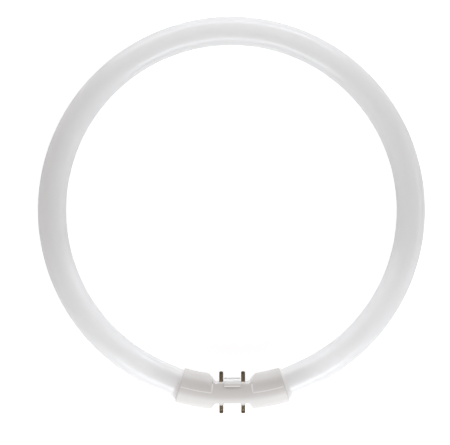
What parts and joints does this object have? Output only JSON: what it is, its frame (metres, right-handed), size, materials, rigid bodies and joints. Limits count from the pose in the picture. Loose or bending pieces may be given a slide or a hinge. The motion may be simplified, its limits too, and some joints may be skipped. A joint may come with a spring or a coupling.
{
  "type": "circular fluorescent tube",
  "caption": "Slim white fluorescent tube bent to a ring, closed by a moulded white cap whose brass contact pins point to the ring's centre and outward.",
  "frame": {"origin": "centre of the glass ring, in its middle plane", "axes": "+Z along the ring's axis, up from the surface it lies on; +Y from the cap across the ring"},
  "size_m": [0.225, 0.2304, 0.0206],
  "materials": {
    "coated_glass": "clear glass, opaque white coating on its inside",
    "cap_plastic": "satin white moulded plastic",
    "pin_brass": "drawn, slightly dulled",
    "lead_wire": "plain drawn wire"
  },
  "bodies": {
    "root": {"glass_tube": "coated_glass", "cap_inner_half": "cap_plastic", "cap_outer_half": "cap_plastic", "pin_inner_left": "pin_brass", "lead_inner_left": "lead_wire", "pin_inner_right": "pin_brass", "lead_inner_right": "lead_wire", "pin_outer_left": "pin_brass", "lead_outer_left": "lead_wire", "pin_outer_right": "pin_brass", "lead_outer_right": "lead_wire"}
  },
  "joints": []
}
